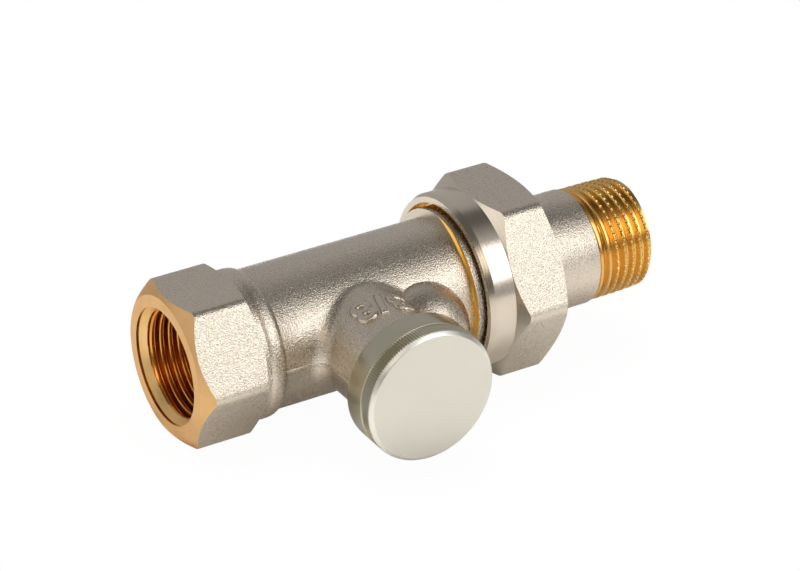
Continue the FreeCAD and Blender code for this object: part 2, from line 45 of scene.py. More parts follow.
# Body
BRANCH_X = 26.6
HEX_FACE_R, HEX_CORNER_R, HEX_CHAMFER = 10.0, 12.124, 1.7
COLLAR_R, COLLAR_START, COLLAR_END = 10.35, 10.4, 12.0
BARREL_R, BARREL_START = 9.9, 12.8
RING_START = 42.7
WATER_WAY_LIMIT_R = 9.0
NECK_R, NECK_END, ROOT_FILLET = 7.7, 18.9, 2.2
BRANCH_BORE_LIMIT_R, BRANCH_BORE_START = 6.6, 5.0
BULGE_X, BULGE_OUT, BULGE_R = 35.0, 8.8, 6.5

# Union nut
NUT_START, NUT_HEX_START, NUT_HEX_END = 43.73, 47.68, 56.1
NUT_INSIDE_LIMIT_R = 11.75

# Threads
PIPE_PITCH, PIPE_THREAD_DEPTH = 1.337, 0.856
INLET_ROOT_R, INLET_DEPTH = 8.33, 10.2
UNION_PITCH, UNION_R, UNION_THREAD_START = 1.8143, 11.4, 45.2
CAP_PITCH, CAP_THREAD_R = 1.0, 7.5


# Mesh helpers

MERGE_DISTANCE = 2e-4


def full_turn(count):
    """Evenly spaced angles around a circle."""
    return np.linspace(0, 2 * np.pi, count, endpoint=False)


def ring(axis, along, radius, angles):
    """Ring of points about the pipe axis or the branch axis."""
    across, up = radius * np.cos(angles), radius * np.sin(angles)
    flat = np.full_like(angles, along)
    if axis == "pipe":
        return np.stack([flat, across, up], axis=-1)
    return np.stack([BRANCH_X + across, -flat, up], axis=-1)


def plain_rings(axis, outline, angles):
    """Round ring for each (along, radius) place of an outline."""
    return [ring(axis, along, radius, angles) for along, radius in outline]


def softened(corners, steps=4):
    """Outline of (along, radius, rounding) corners with each corner replaced by a small curve."""
    points = []
    count = len(corners)
    longest_share = 0.45
    for number, (along, radius, rounding) in enumerate(corners):
        here = np.array([along, radius])
        if rounding == 0:
            points.append(here)
            continue
        ends = []
        for neighbour in (corners[number - 1], corners[(number + 1) % count]):
            leg = np.array(neighbour[:2]) - here
            length = np.linalg.norm(leg)
            ends.append(here + leg / length * min(rounding, longest_share * length))
        for share in np.linspace(0, 1, steps + 1):
            points.append((1 - share) ** 2 * ends[0] + 2 * share * (1 - share) * here + share ** 2 * ends[1])
    return points


def skin(rings, closed, capped=True):
    """Faces between successive rings; an open skin may get a flat face over each end ring."""
    count, size = len(rings), len(rings[0])
    row = np.arange(count if closed else count - 1)[:, None]
    column = np.arange(size)[None, :]
    beside, above = (column + 1) % size, (row + 1) % count
    corners = [row * size + column, row * size + beside, above * size + beside, above * size + column]
    faces = np.stack(np.broadcast_arrays(*corners), axis=-1).reshape(-1, 4).tolist()
    if capped and not closed:
        faces.append(list(range(size)))
        faces.append(list(range((count - 1) * size, count * size)))
    return np.concatenate(rings), faces


def new_object(name, data):
    """Object linked into the scene."""
    item = bpy.data.objects.new(name, data)
    bpy.context.scene.collection.objects.link(item)
    return item


def evaluated_mesh(item):
    """Mesh of an object as its modifiers or its text make it."""
    bpy.context.view_layer.update()
    return bpy.data.meshes.new_from_object(item.evaluated_get(bpy.context.evaluated_depsgraph_get()))


def clean_mesh(name, points, faces):
    """Mesh in metres with doubled points merged and every face turned outwards."""
    mesh = bpy.data.meshes.new(name)
    mesh.from_pydata((np.asarray(points) * MM).tolist(), [], faces)
    work = bmesh.new()
    work.from_mesh(mesh)
    bmesh.ops.remove_doubles(work, verts=work.verts, dist=MERGE_DISTANCE * MM)
    bmesh.ops.recalc_face_normals(work, faces=work.faces)
    work.to_mesh(mesh)
    work.free()
    return mesh


def dress(piece, materials, choose=None):
    """Give a mesh its materials; choose names one from a face's centre in millimetres and its normal."""
    mesh = piece.data
    mesh.materials.clear()
    for material in materials:
        mesh.materials.append(material)
    for face in mesh.polygons:
        face.material_index = materials.index(choose(face.center / MM, face.normal)) if choose else 0


def add_piece(name, points, faces, body, materials, choose=None, sharp=30):
    """Piece on a CAD body, smooth apart from edges with more than the sharp angle in degrees."""
    mesh = clean_mesh(name, points, faces)
    mesh.shade_smooth()
    mesh.set_sharp_from_angle(angle=math.radians(sharp))
    piece = new_object(name, mesh)
    dress(piece, materials, choose)
    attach(piece, body)
    return piece


# Material helpers

def add_node(tree, kind, inputs=None, **settings):
    """Shader node with its settings, and with a link or a value at each of the given inputs."""
    node = tree.nodes.new(kind)
    for name, value in settings.items():
        setattr(node, name, value)
    for key, value in (inputs or {}).items():
        if isinstance(value, bpy.types.NodeSocket):
            tree.links.new(value, node.inputs[key])
        else:
            node.inputs[key].default_value = value
    return node


def add_ramp(tree, value, low, high, start, end, shape="LINEAR"):
    """Value that goes from low to high while the given one goes from start to end."""
    inputs = {"Value": value, "From Min": start, "From Max": end, "To Min": low, "To Max": high}
    return add_node(tree, "ShaderNodeMapRange", inputs, interpolation_type=shape).outputs["Result"]


class Surface:
    """Principled material with helpers for the nodes that vary it."""

    def __init__(self, name, colour, roughness, metallic=1.0):
        self.material = bpy.data.materials.new(name)
        self.material.use_nodes = True
        self.tree = self.material.node_tree
        self.shader = self.tree.nodes["Principled BSDF"]
        self.shader.inputs["Base Color"].default_value = (*colour, 1)
        self.shader.inputs["Roughness"].default_value = roughness
        self.shader.inputs["Metallic"].default_value = metallic
        self.place = add_node(self.tree, "ShaderNodeTexCoord").outputs["Object"]

    def drive(self, name, value):
        """Let a node set one of the shader's inputs."""
        self.tree.links.new(value, self.shader.inputs[name])

    def vector(self, operation, first, second=(0, 0, 0), output="Vector"):
        """Result of a vector operation."""
        node = add_node(self.tree, "ShaderNodeVectorMath", {0: first, 1: second}, operation=operation)
        return node.outputs[output]

    def noise(self, size, detail=2.0):
        """Noise whose grains are about size millimetres across."""
        inputs = {"Vector": self.place, "Scale": 1 / (size * MM), "Detail": detail}
        return add_node(self.tree, "ShaderNodeTexNoise", inputs).outputs["Fac"]

    def turned_lines(self, axis, size):
        """Noise that is constant around an axis, as tool marks are."""
        if axis == "branch":
            centre, across, name = (BRANCH_X * MM, 0, 0), (1, 0, 1), "Y"
        else:
            centre, across, name = (0, 0, 0), (0, 1, 1), "X"
        flat = self.vector("MULTIPLY", self.vector("SUBTRACT", self.place, centre), across)
        radius = self.vector("LENGTH", flat, output="Value")
        along = add_node(self.tree, "ShaderNodeSeparateXYZ", {"Vector": self.place}).outputs[name]
        where = add_node(self.tree, "ShaderNodeMath", {0: radius, 1: along}, operation="ADD")
        inputs = {"W": where.outputs["Value"], "Scale": 1 / (size * MM), "Detail": 3.0}
        return add_node(self.tree, "ShaderNodeTexNoise", inputs, noise_dimensions="1D").outputs["Fac"]

    def ramp(self, value, low, high, start=0.3, end=0.7):
        """Ramp whose default ends suit a noise."""
        return add_ramp(self.tree, value, low, high, start, end)

    def tint(self, value, first, second):
        """Base colour that goes from the first to the second with a value from 0 to 1."""
        inputs = {"Factor": value, "A": (*first, 1), "B": (*second, 1)}
        node = add_node(self.tree, "ShaderNodeMix", inputs, data_type="RGBA")
        self.drive("Base Color", node.outputs["Result"])

    def bump(self, height, depth, strength, under=None):
        """Relief of a depth in millimetres, over another relief if one is given."""
        inputs = {"Height": height, "Distance": depth * MM, "Strength": strength}
        if under is not None:
            inputs["Normal"] = under
        relief = add_node(self.tree, "ShaderNodeBump", inputs).outputs["Normal"]
        self.drive("Normal", relief)
        return relief


# Materials, each with a bright and a deep tint that it varies between

NICKEL_TINTS = (0.70, 0.61, 0.50), (0.65, 0.585, 0.495)
CAP_FACE_TINTS = (0.68, 0.66, 0.58), (0.66, 0.64, 0.57)
# One plating covers the whole cap. The side and its knurled band are painted darker and greener, as painted
# shade and a painted reflection of the dark surroundings. The rim chamfer is painted lighter, as a painted
# highlight.
CAP_SIDE_SHADED_TINTS = (0.535, 0.51, 0.395), (0.515, 0.49, 0.375)
CAP_RIM_HIGHLIGHT_TINTS = (0.84, 0.82, 0.75), (0.82, 0.80, 0.73)
BRASS_TINTS = (0.80, 0.51, 0.175), (0.73, 0.43, 0.12)
FACED_TINTS = (0.81, 0.52, 0.24), (0.73, 0.46, 0.205)
# The inlet lining is one brass. Its countersink lip is painted lighter, as a painted highlight, and its
# thread is painted darker and redder, as painted shade inside the bore.
LIP_HIGHLIGHT_TINTS = (0.95, 0.67, 0.30), (0.92, 0.63, 0.27)
INLET_SHADED_TINTS = (0.80, 0.38, 0.10), (0.72, 0.31, 0.07)
CRESCENT_BRASS = (0.94, 0.52, 0.08)


def blasted_nickel():
    """Plate with shot-blasted grain over the slight waves of a forging."""
    bright, deep = NICKEL_TINTS
    surface = Surface("nickel_blasted", bright, 0.36)
    grain = surface.noise(0.2)
    surface.tint(surface.ramp(grain, 0, 1), deep, bright)
    surface.drive("Roughness", surface.ramp(surface.noise(0.5), 0.2, 0.3))
    waves = surface.bump(surface.noise(3.2, detail=1.0), depth=0.05, strength=0.4)
    surface.bump(grain, depth=0.085, strength=1.0, under=waves)
    return surface.material


def cut_shoulder():
    """Plated shoulder where an off-centre lathe cut has bared a sloping crescent of brass in front."""
    bright, deep = NICKEL_TINTS
    cut_angle, cut_shift, cut_inset = math.radians(25), 3.4, 0.35
    cut_blend, slope_width, slope_depth = 0.05, 0.8, 0.5
    surface = Surface("nickel_cut_shoulder", bright, 0.3)
    centre = (0, cut_shift * math.cos(cut_angle) * MM, -cut_shift * math.sin(cut_angle) * MM)
    flat = surface.vector("MULTIPLY", surface.place, (0, 1, 1))
    reach = surface.vector("DISTANCE", flat, centre, output="Value")
    edge = (BARREL_R - cut_inset + cut_shift) * MM
    cut = surface.ramp(reach, 0, 1, edge - cut_blend * MM, edge + cut_blend * MM)
    surface.tint(cut, deep, CRESCENT_BRASS)
    fall = surface.ramp(reach, 1, 0, edge, edge + slope_width * MM)
    slope = surface.bump(fall, slope_depth, strength=1.0)
    grain_strength = surface.ramp(cut, 0.6, 0.05, 0, 1)
    surface.bump(surface.noise(0.27), depth=0.06, strength=grain_strength, under=slope)
    return surface.material


def turned_metal(name, axis, tints, roughness, line_depth, spread=0.2):
    """Lathe-turned metal with tool marks around its axis, whose roughness varies by the spread."""
    bright, deep = tints
    surface = Surface(name, bright, roughness)
    surface.tint(surface.ramp(surface.noise(4.0), 0, 1), bright, deep)
    lines = surface.turned_lines(axis, 0.16)
    surface.drive("Roughness", surface.ramp(lines, roughness * (1 - spread), roughness * (1 + spread)))
    surface.bump(lines, line_depth, strength=0.5)
    return surface.material


def moulded_rubber():
    """Black rubber of the seals."""
    surface = Surface("rubber_moulded", (0.022, 0.022, 0.024), 0.6, metallic=0.0)
    surface.tint(surface.ramp(surface.noise(1.5), 0, 1), (0.018, 0.018, 0.02), (0.03, 0.03, 0.032))
    surface.bump(surface.noise(0.12), depth=0.01, strength=0.4)
    return surface.material


def drawn_wire():
    """Bright spring steel."""
    surface = Surface("spring_wire", (0.52, 0.53, 0.55), 0.3)
    surface.tint(surface.ramp(surface.noise(0.8), 0, 1), (0.5, 0.51, 0.54), (0.58, 0.58, 0.6))
    surface.bump(surface.noise(0.08), depth=0.006, strength=0.3)
    return surface.material


BLASTED = blasted_nickel()
SHOULDER = cut_shoulder()
PIPE_NICKEL = turned_metal("nickel_turned_pipe", "pipe", NICKEL_TINTS, 0.2, 0.03)
CAP_SIDE_PAINTED_SHADE = turned_metal("nickel_turned_cap_side_painted_shade", "branch", CAP_SIDE_SHADED_TINTS, 0.26, 0.0006, spread=0.03)
CAP_FACE = turned_metal("nickel_turned_cap", "branch", CAP_FACE_TINTS, 0.22, 0.0008, spread=0.08)
CAP_RIM_PAINTED_HIGHLIGHT = turned_metal("nickel_turned_cap_rim_painted_highlight", "branch", CAP_RIM_HIGHLIGHT_TINTS, 0.36, 0.0006, spread=0.05)
PIPE_BRASS = turned_metal("brass_turned_pipe", "pipe", BRASS_TINTS, 0.22, 0.012)
FACED_BRASS = turned_metal("brass_faced", "pipe", FACED_TINTS, 0.55, 0.012)
LIP_BRASS_PAINTED_HIGHLIGHT = turned_metal("brass_inlet_lip_painted_highlight", "pipe", LIP_HIGHLIGHT_TINTS, 0.5, 0.012)
INLET_BRASS_PAINTED_SHADE = turned_metal("brass_inlet_thread_painted_shade", "pipe", INLET_SHADED_TINTS, 0.22, 0.012)
BRANCH_BRASS = turned_metal("brass_turned_branch", "branch", BRASS_TINTS, 0.22, 0.012)
RUBBER = moulded_rubber()
WIRE = drawn_wire()


# Finish of the CAD nodes that are carried over

def from_pipe(centre):
    """Distance of a face's centre from the pipe axis."""
    return math.hypot(centre.y, centre.z)


def nut_finish(centre, normal):
    """Blasted flats, turned skirt and chamfers, bare brass inside."""
    radius = from_pipe(centre)
    mouth, end_chamfer = 0.5, 0.1
    faces_axis = (normal.y * centre.y + normal.z * centre.z) / radius < -0.5
    within = radius < NUT_INSIDE_LIMIT_R and centre.x < NUT_HEX_END - end_chamfer
    if within and (faces_axis or centre.x > NUT_START + mouth):
        return PIPE_BRASS
    along_axis = abs(normal.x) < 0.05
    return BLASTED if along_axis and centre.x > NUT_HEX_START else PIPE_NICKEL


CARRIED_OVER = [
    (BRANCH_BRASS, ("bonnet", "spindle", "plug", "washer_screw")),
    (RUBBER, ("bonnet_o_ring", "spindle_o_ring_lower", "spindle_o_ring_upper", "seat_washer",
              "cap_gasket", "tailpiece_o_ring")),
    (WIRE, ("plug_retaining_ring",)),
]
for material, names in CARRIED_OVER:
    for name in names:
        dress(NODES[name], [material])
dress(NODES["union_nut"], [BLASTED, PIPE_NICKEL, PIPE_BRASS], nut_finish)


# Threads

def thread_form(along, angles, pitch=PIPE_PITCH):
    """Height from 0 at the root to 1 at the crest of a right-hand thread, a little rounded."""
    flat = 0.1
    phase = (along / pitch - angles / (2 * np.pi)) % 1
    slope = np.clip((1 - np.abs(2 * phase - 1) - flat) / (1 - 2 * flat), 0, 1)
    return 0.5 * slope + 0.5 * slope * slope * (3 - 2 * slope)


def threaded_skin(rings, angles, start, end, radius_at, rows=16, pitch=PIPE_PITCH, axis="pipe"):
    """Skin of a thread whose rows follow the helix, closed by rings from its end back to its start."""
    columns = len(angles)
    shortest = 1e-6
    first = math.floor((start / pitch - 1) * rows) - 1
    last = math.ceil(end / pitch * rows) + 1
    steps = np.arange(first, last + rows + 1)[:, None] / rows + angles / (2 * np.pi)
    along = np.clip(steps * pitch, start, end)
    points = [ring(axis, row, radius_at(row, angles), angles) for row in along]
    count = len(points)
    faces = []
    for row in range(count - 1):
        for column in range(columns):
            across = 0 if column < columns - 1 else rows
            beside = (column + 1) % columns
            corners = [(row, column), (min(row + across, count - 1), beside),
                       (min(row + 1 + across, count - 1), beside), (row + 1, column)]
            if np.ptp([along[corner] for corner in corners]) > shortest:
                faces.append([r * columns + c for r, c in corners])
    end_ring, start_ring = (ring(axis, place, radius_at(np.full(columns, place), angles), angles)
                            for place in (end, start))
    shell, shell_faces = skin([end_ring, *rings, start_ring], closed=False, capped=False)
    offset = count * columns
    faces += [[corner + offset for corner in face] for face in shell_faces]
    return np.concatenate([*points, shell]), faces


def thread_cutter(axis, start, end, pitch, root, crest):
    """Tube whose bore is a thread that runs out at its start, as a tool to cut with."""
    angles = full_turn(96)
    wall, past_crest, past_run_out = 1.0, 0.12, 0.2

    def radius_at(along, angles):
        thread = root + (crest + past_crest - root) * thread_form(along, angles, pitch)
        run_out = np.interp(along, (start, start + pitch), (crest + past_run_out, root))
        return np.maximum(thread, run_out)

    rings = plain_rings(axis, [(end, crest + wall), (start, crest + wall)], angles)
    points, faces = threaded_skin(rings, angles, start, end, radius_at, rows=12, pitch=pitch, axis=axis)
    return new_object("thread_cutter", clean_mesh("thread_cutter", points, faces))


# Pieces that stand for CAD nodes

def body_finish(centre, normal):
    """Plate outside; bare brass where the forging is machined."""
    radius = from_pipe(centre)
    from_branch = math.hypot(centre.x - BRANCH_X, centre.z)
    out = -centre.y
    near, chamfer_slack, cone_slack, ring_slack = 0.02, 0.1, 0.12, 0.05
    leans_to_inlet, faces_inlet = normal.x < -0.2, normal.x < -0.9
    on_cap_thread = out > NECK_END - near and from_branch < NECK_R + near
    in_branch = out > BRANCH_BORE_START and from_branch < BRANCH_BORE_LIMIT_R
    if on_cap_thread or in_branch:
        return BRANCH_BRASS
    cone = HEX_FACE_R + (HEX_CORNER_R - HEX_FACE_R) * centre.x / HEX_CHAMFER
    on_chamfer = centre.x < HEX_CHAMFER + chamfer_slack and radius > cone - cone_slack
    if centre.x < near or (on_chamfer and leans_to_inlet):
        return FACED_BRASS
    if abs(centre.x - RING_START) < ring_slack and faces_inlet:
        return SHOULDER
    if radius < WATER_WAY_LIMIT_R or centre.x > UNION_THREAD_START - near:
        return PIPE_BRASS
    return BLASTED


def make_threaded_body():
    """Body with the union thread and the cap's thread cut into it."""
    union_start, union_end, union_root = 45.6, 51.8, 10.6
    cap_start, cap_end, cap_root = 19.3, 23.5, 6.9
    solid = NODES["valve_body"]
    copy = new_object("body_copy", solid.data.copy())
    copy.matrix_world = solid.matrix_world
    cutters = [thread_cutter("pipe", union_start, union_end, UNION_PITCH, union_root, UNION_R),
               thread_cutter("branch", cap_start, cap_end, CAP_PITCH, cap_root, CAP_THREAD_R)]
    for cutter in cutters:
        cut = copy.modifiers.new(cutter.name, "BOOLEAN")
        cut.operation = "DIFFERENCE"
        cut.solver = "EXACT"
        cut.object = cutter
    mesh = evaluated_mesh(copy)
    points = [copy.matrix_world @ vertex.co / MM for vertex in mesh.vertices]
    faces = [list(face.vertices) for face in mesh.polygons]
    bpy.data.meshes.remove(mesh)
    for item in (copy, *cutters):
        bpy.data.objects.remove(item)
    materials = [BLASTED, PIPE_BRASS, BRANCH_BRASS, SHOULDER, FACED_BRASS]
    piece = add_piece("body_threaded", points, faces, "valve", materials, body_finish)
    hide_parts("valve_body")


def make_tailpiece():
    """Tailpiece with its nose, collar, plated neck and serrated taper thread."""
    angles = full_turn(480)
    bore, bore_middle, key_flat, key_end = 4.9, 60.0, 5.0, 56.2
    nose_start, nose_r = 48.2, 6.75
    groove_start, groove_start_r, groove_end, groove_end_r, groove_r = 49.34, 7.32, 50.66, 7.98, 6.43
    cone_end, collar_start, collar_end, collar_r = 51.5, 51.7, 53.65, 10.6
    neck_r, neck_middle = 8.4, 58.0
    plate_start, plate_limit_r, near = 53.5, 8.0, 0.02
    thread_start, first_turn, thread_end, end = 64.7, 64.8, 73.15, 73.9
    crest_r, taper, thread_shift = 8.36, 1 / 32, 0.35
    run_out_r, run_out_end, run_out_end_r = 7.95, (65.5, 66.3), 7.4
    lead_r, tip_r, tip_inside_r = 8.2, 7.6, 7.4
    notches, notch_depth, notch_share, notch_start = 48, 0.22, 0.2, (66.6, 67.2)
    key = key_flat / np.cos((angles + np.pi / 6) % (np.pi / 3) - np.pi / 6)
    notch = np.clip(1 - np.abs((notches * angles / (2 * np.pi)) % 1 - 0.5) / notch_share, 0, 1)

    def radius_at(along, angles):
        crest = crest_r - (along - thread_start) * taper
        thread = crest - PIPE_THREAD_DEPTH + PIPE_THREAD_DEPTH * thread_form(along + thread_shift, angles)
        run_out = np.interp(along, (thread_start, *run_out_end), (run_out_r, run_out_r, run_out_end_r))
        top = crest - notch_depth * notch * np.interp(along, notch_start, (0, 1))
        lead = np.interp(along, (thread_end, end), (lead_r, tip_r))
        return np.minimum(np.minimum(np.maximum(thread, run_out), top), lead)

    inside = softened([(end, tip_inside_r, 0), (end, bore, 0.2), (bore_middle, bore, 0), (key_end, bore, 0)])
    outside = softened([
        (nose_start, nose_r, 0.15), (groove_start, groove_start_r, 0.1), (groove_start, groove_r, 0),
        (groove_end, groove_r, 0), (groove_end, groove_end_r, 0.1), (cone_end, neck_r, 0),
        (collar_start, neck_r, 0), (collar_start, collar_r, 0.2), (collar_end, collar_r, 0.2),
        (collar_end, neck_r, 0), (neck_middle, neck_r, 0), (thread_start, neck_r, 0.18),
        (thread_start, run_out_r, 0),
    ])
    rings = plain_rings("pipe", inside, angles)
    rings += [ring("pipe", along, key, angles) for along in (key_end, nose_start)]
    rings += plain_rings("pipe", outside, angles)
    points, faces = threaded_skin(rings, angles, first_turn, end - near, radius_at, rows=14)

    def finish(centre, normal):
        plated = plate_start < centre.x < thread_start - near and from_pipe(centre) > plate_limit_r
        return BLASTED if plated else PIPE_BRASS

    piece = add_piece("tailpiece_threaded", points, faces, "tailpiece",
                      [BLASTED, PIPE_BRASS], finish, sharp=40)
    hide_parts("tailpiece")


def make_cap():
    """Screw cap with a straight-knurled band behind the turned chamfer of its face."""
    teeth, per_tooth = 150, 4
    columns = teeth * per_tooth
    angles = full_turn(columns)
    cap_r, bore = 9.67, 7.55
    rim, inside, face = 19.2, 24.0, 25.3
    band_start, chamfer = 22.8, 0.62
    band_end = face - chamfer
    tooth_depth, tooth_start_share, tooth_growth = 0.22, 0.4, 3
    before_band, past_band = np.array([0.2, 0.05]), np.array([0.05, 0.1, 0.15])
    edge, near, flat_radii = 0.25, 0.01, (0.3, 3.0, 6.0)
    tooth = np.abs((np.arange(columns) % per_tooth) / per_tooth * 2 - 1)

    rings = plain_rings("branch", [(inside, radius) for radius in flat_radii], angles)
    side = [(inside, bore, 0), (rim, bore, 0.25), (rim, cap_r, 0.4)]
    side += [(along, cap_r, 0) for along in band_start - before_band]
    rings += plain_rings("branch", softened(side), angles)
    for along in [*np.linspace(band_start, band_end, 9), *(band_end + past_band)]:
        share = min(1.0, tooth_start_share + tooth_growth * (along - band_start))
        turned = cap_r - max(0.0, along - band_end)
        rings.append(ring("branch", along, np.minimum(cap_r - tooth_depth * share * tooth, turned), angles))
    front = [(face - edge, cap_r - chamfer + edge, 0), (face, cap_r - chamfer, 0.1)]
    front += [(face, radius, 0) for radius in reversed(flat_radii)]
    rings += plain_rings("branch", softened(front), angles)
    points, faces = skin(rings, closed=False)

    # The side and knurled band take the painted shade and reflection, the rim chamfer takes the painted
    # highlight, and the front face keeps the plating's own tone.
    def finish(centre, normal):
        faces_front = normal.y <= -0.9
        if -centre.y < band_end + near:
            return CAP_SIDE_PAINTED_SHADE
        return CAP_FACE if faces_front else CAP_RIM_PAINTED_HIGHLIGHT

    piece = add_piece("cap_knurled", points, faces, "cap",
                      [CAP_FACE, CAP_SIDE_PAINTED_SHADE, CAP_RIM_PAINTED_HIGHLIGHT], finish, sharp=28)
    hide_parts("cap")


# Details of the body

def make_inlet_thread():
    """Threaded lining of the inlet socket, with the countersink behind its mouth."""
    angles = full_turn(240)
    sunk, clear = 0.04, 0.02
    wall, root, crest = INLET_ROOT_R + sunk, INLET_ROOT_R - clear, INLET_ROOT_R - PIPE_THREAD_DEPTH
    mouth, mouth_r, lip = 0.4, 8.28, 0.05
    lead_end, lead_overlap, full_depth = 1.35, 0.2, 2.1
    relief, relief_length, end = 9.2, 0.5, INLET_DEPTH - clear

    def radius_at(along, angles):
        lead = np.interp(along, (mouth, lead_end + lead_overlap), (mouth_r, crest))
        deep = np.interp(along, (lead_end, full_depth), (0, 1))
        leaving = np.interp(along, (relief, relief + relief_length), (crest, root))
        thread = root - (root - crest) * thread_form(along, angles)
        return np.maximum(lead + np.maximum(thread - lead, 0) * deep, leaving)

    # The lip before the lead's end gets the painted highlight, and the thread past it gets the painted
    # shade.
    def finish(centre, normal):
        return INLET_BRASS_PAINTED_SHADE if centre.x > lead_end else LIP_BRASS_PAINTED_HIGHLIGHT

    rings = plain_rings("pipe", [(end, wall), (mouth, wall), (mouth, mouth_r)], angles)
    points, faces = threaded_skin(rings, angles, mouth + lip, end, radius_at)
    add_piece("inlet_thread", points, faces, "valve",
              [INLET_BRASS_PAINTED_SHADE, LIP_BRASS_PAINTED_HIGHLIGHT], finish, sharp=50)


def make_collar_bead():
    """Rounded bead over the collar behind the inlet hexagon, with a groove left beside the hexagon."""
    start, crown_start, crown_end, end = 10.62, 11.2, 12.6, 13.3
    step, sunk = 0.1, 0.1
    front_rise, crown_rise, back_rise, foot_rise = 0.02, 0.22, 0.16, 0.05
    outline = softened([
        (start, COLLAR_R - sunk, 0), (start + step, COLLAR_R + front_rise, 0.1),
        (crown_start, COLLAR_R + crown_rise, 0.5), (crown_end, COLLAR_R + back_rise, 0.6),
        (end - step, BARREL_R + foot_rise, 0.15), (end, BARREL_R - sunk, 0),
    ])
    points, faces = skin(plain_rings("pipe", outline, full_turn(180)), closed=True)
    add_piece("collar_bead", points, faces, "valve", [BLASTED], sharp=60)


make_threaded_body()
make_inlet_thread()
make_tailpiece()
make_cap()
make_collar_bead()


# Flash of the forging, as ridges along its parting plane

def sweep_ridge(name, path):
    """Low ridge along (place, outward) pairs in the parting plane, a little uneven as flash is."""
    across = np.array([-0.32, -0.2, 0.0, 0.2, 0.32])
    height = np.array([-0.08, 0.07, 0.11, 0.07, -0.08])
    wander, wander_rate, wander_seed = 0.05, 0.9, 3.1
    swell, swell_rate, swell_seed = 0.45, 0.7, 8.4
    rings = []
    for (x, y), outward in path:
        shift = wander * noise.noise((x * wander_rate, y * wander_rate, wander_seed))
        growth = 1 + swell * noise.noise((x * swell_rate, y * swell_rate, swell_seed))
        lift = np.where(height > 0, height * growth, height)
        rings.append(np.stack([x + outward[0] * lift, y + outward[1] * lift, across + shift], axis=-1))
    points, faces = skin(rings, closed=False)
    add_piece(name, points, faces, "valve", [BLASTED], sharp=60)


def straight(first, last, outward, count):
    """Evenly spaced places in the parting plane, each with the outward direction there."""
    return [(place, outward) for place in np.linspace(first, last, count, endpoint=False)]


def arc(centre, radius, first, last, count, hollow=False):
    """Places along an arc, by angle from the branch's own direction towards the outlet."""
    angles = np.radians(np.linspace(first, last, count))
    turned = [np.array([math.sin(angle), math.cos(angle)]) for angle in angles]
    return [(np.array(centre) + radius * away, -away if hollow else away) for away in turned]


def front_ridges():
    """Paths beside the branch, as (along, out) places: past the collar, and over the forged bulge."""
    neck_left, neck_right = BRANCH_X - NECK_R, BRANCH_X + NECK_R
    fillet_x, fillet_out = neck_left - ROOT_FILLET, BARREL_R + ROOT_FILLET
    past_fillet, past_bulge = 0.4, 0.3
    inlet = straight((COLLAR_START, COLLAR_R), (COLLAR_END, COLLAR_R), (0, 1), 6)
    inlet += straight((COLLAR_END, COLLAR_R), (BARREL_START, BARREL_R), (0, 1), 6)
    inlet += straight((BARREL_START, BARREL_R), (fillet_x, BARREL_R), (0, 1), 16)
    inlet += arc((fillet_x, fillet_out), ROOT_FILLET, 180, 90, 9, hollow=True)
    inlet += straight((neck_left, fillet_out + past_fillet), (neck_left, NECK_END), (-1, 0), 16)
    foot = math.acos((BARREL_R - BULGE_OUT) / BULGE_R)
    side = math.asin((neck_right - BULGE_X) / BULGE_R)
    foot_x = BULGE_X + BULGE_R * math.sin(foot)
    side_out = BULGE_OUT + BULGE_R * math.cos(side)
    outlet = straight((RING_START, BARREL_R), (foot_x, BARREL_R), (0, 1), 4)
    outlet += arc((BULGE_X, BULGE_OUT), BULGE_R, math.degrees(foot), math.degrees(side), 20)
    outlet += straight((neck_right, side_out + past_bulge), (neck_right, NECK_END), (1, 0), 10)
    return {"parting_ridge_inlet": inlet, "parting_ridge_outlet": outlet}


def rear_ridge():
    """Path along the back of the body, from the collar to the ring."""
    after_collar = 0.6
    places = [(COLLAR_START, COLLAR_R), (COLLAR_END, COLLAR_R), (BARREL_START, BARREL_R)]
    places += [(x, BARREL_R) for x in np.linspace(BARREL_START + after_collar, RING_START, 48)]
    return [(place, (0, 1)) for place in places]


for name, path in front_ridges().items():
    sweep_ridge(name, [((x, -out), (aside, -away)) for (x, out), (aside, away) in path])
sweep_ridge("parting_ridge_rear", rear_ridge())


# Size mark

def make_size_mark():
    """Raised pipe size on the neck of the branch, reading from the barrel outwards."""
    curve = bpy.data.curves.new("size_mark_text", "FONT")
    curve.body = "3/8"
    curve.size = 5.8
    curve.align_x = "CENTER"
    curve.space_character = 1.12
    curve.offset = -0.06
    curve.extrude = 0.12
    curve.bevel_depth = 0.4
    curve.bevel_resolution = 3
    text = new_object("size_mark_text", curve)
    mesh = evaluated_mesh(text)
    bpy.data.objects.remove(text)
    work = bmesh.new()
    work.from_mesh(mesh)
    bpy.data.meshes.remove(mesh)
    bmesh.ops.triangulate(work, faces=work.faces)
    passes, longest_edge = 3, 0.45
    for _ in range(passes):
        long_edges = [edge for edge in work.edges if edge.calc_length() > longest_edge]
        bmesh.ops.subdivide_edges(work, edges=long_edges, cuts=1)
        bmesh.ops.triangulate(work, faces=work.faces)
    middle_angle, base_out, sunk, tilt = math.radians(89), 10.2, 0.1, 0.05
    points = []
    for vertex in work.verts:
        x, y, z = vertex.co
        angle = middle_angle - x / NECK_R
        radius = NECK_R + z - sunk
        out = base_out + y - tilt * x
        points.append((BRANCH_X - radius * math.cos(angle), -out, radius * math.sin(angle)))
    work.verts.index_update()
    faces = [[vertex.index for vertex in face.verts] for face in work.faces]
    work.free()
    add_piece("size_mark", points, faces, "valve", [BLASTED], sharp=50)


make_size_mark()


# Stage, light and camera

VALVE_MIDDLE = np.array((36, -5, 0))
FRONT_LIGHT = (0.44, -0.70, 0.56)
LEFT_LIGHT = (-0.91, 0.28, 0.31)
WHITE = (1.0, 1.0, 1.0)


